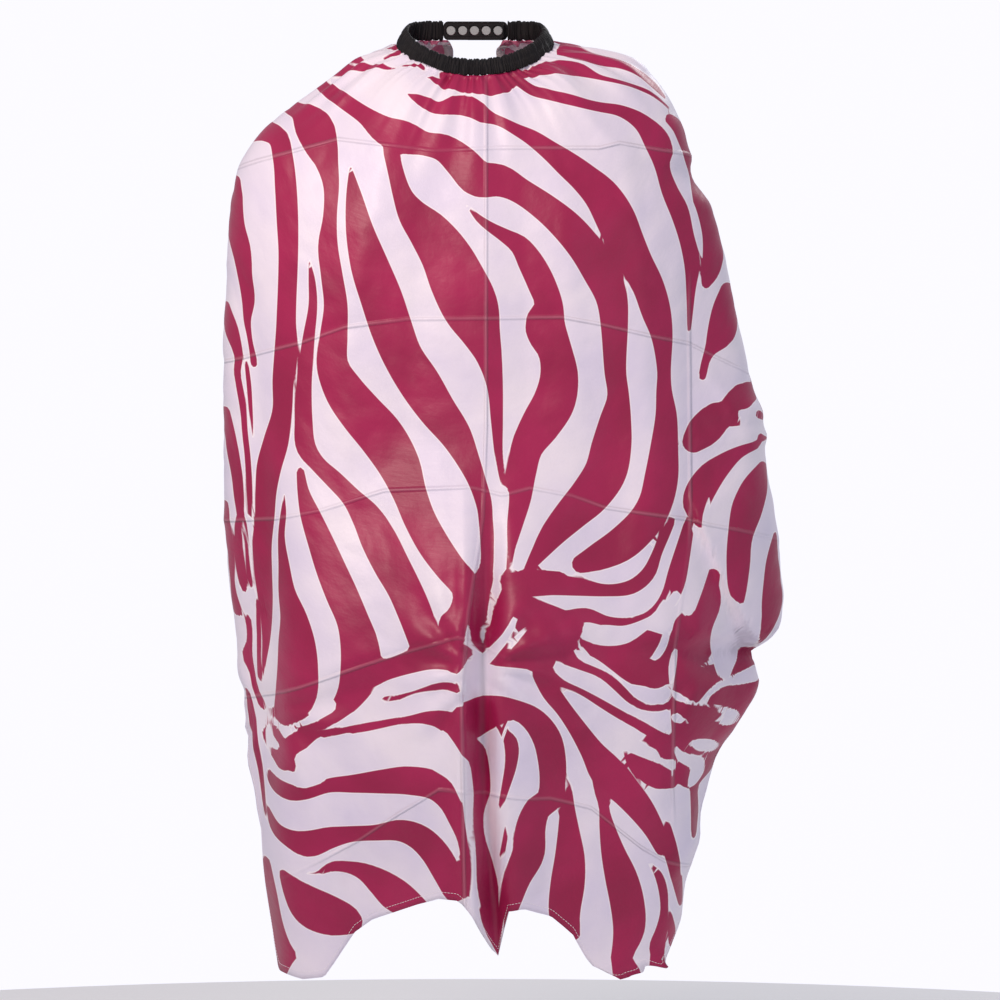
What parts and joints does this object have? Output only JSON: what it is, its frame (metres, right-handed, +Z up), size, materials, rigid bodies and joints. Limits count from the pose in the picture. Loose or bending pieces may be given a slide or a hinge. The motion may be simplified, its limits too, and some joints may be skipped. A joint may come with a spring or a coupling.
{
  "type": "barber cape",
  "caption": "Draped salon cape of printed satin with a ruched elastic neckband that closes at the nape with snap tabs.",
  "frame": {"origin": "centre of the neck opening, level with the tops of the shoulders", "axes": "+Z up along the hanging cape, -Y out of its front, +X to the right of someone facing it"},
  "size_m": [0.5732, 0.3605, 0.9557],
  "materials": {
    "printed_satin": "thin printed polyester satin, soft sheen",
    "black_satin": "black satin, ruched",
    "elastic": "knitted elastic, matt",
    "snap_metal": "nickel-plated brass, stamped",
    "snap_cap": "black enamelled cap, satin gloss"
  },
  "bodies": {
    "cape": {"cape_panel": "printed_satin", "neckband_casing": "black_satin", "neckband_elastic": "elastic", "under_tab": "black_satin", "snap_stud_1": "snap_metal", "snap_stud_2": "snap_metal", "snap_stud_3": "snap_metal", "snap_stud_4": "snap_metal", "snap_stud_5": "snap_metal", "snap_post_1": "snap_metal", "snap_post_2": "snap_metal", "snap_post_3": "snap_metal", "snap_post_4": "snap_metal", "snap_post_5": "snap_metal"},
    "closing_tab": {"over_tab": "black_satin", "snap_socket_1": "snap_metal", "snap_socket_2": "snap_metal", "snap_cap_1": "snap_cap", "snap_cap_2": "snap_cap"}
  },
  "joints": [
    {"name": "over_tab_opening", "type": "hinge", "parent": "cape", "child": "closing_tab", "pos_m": [0.0327, 0.05989, 0.0185], "axis": [0, 0, -1], "range_deg": [0, 110]}
  ]
}
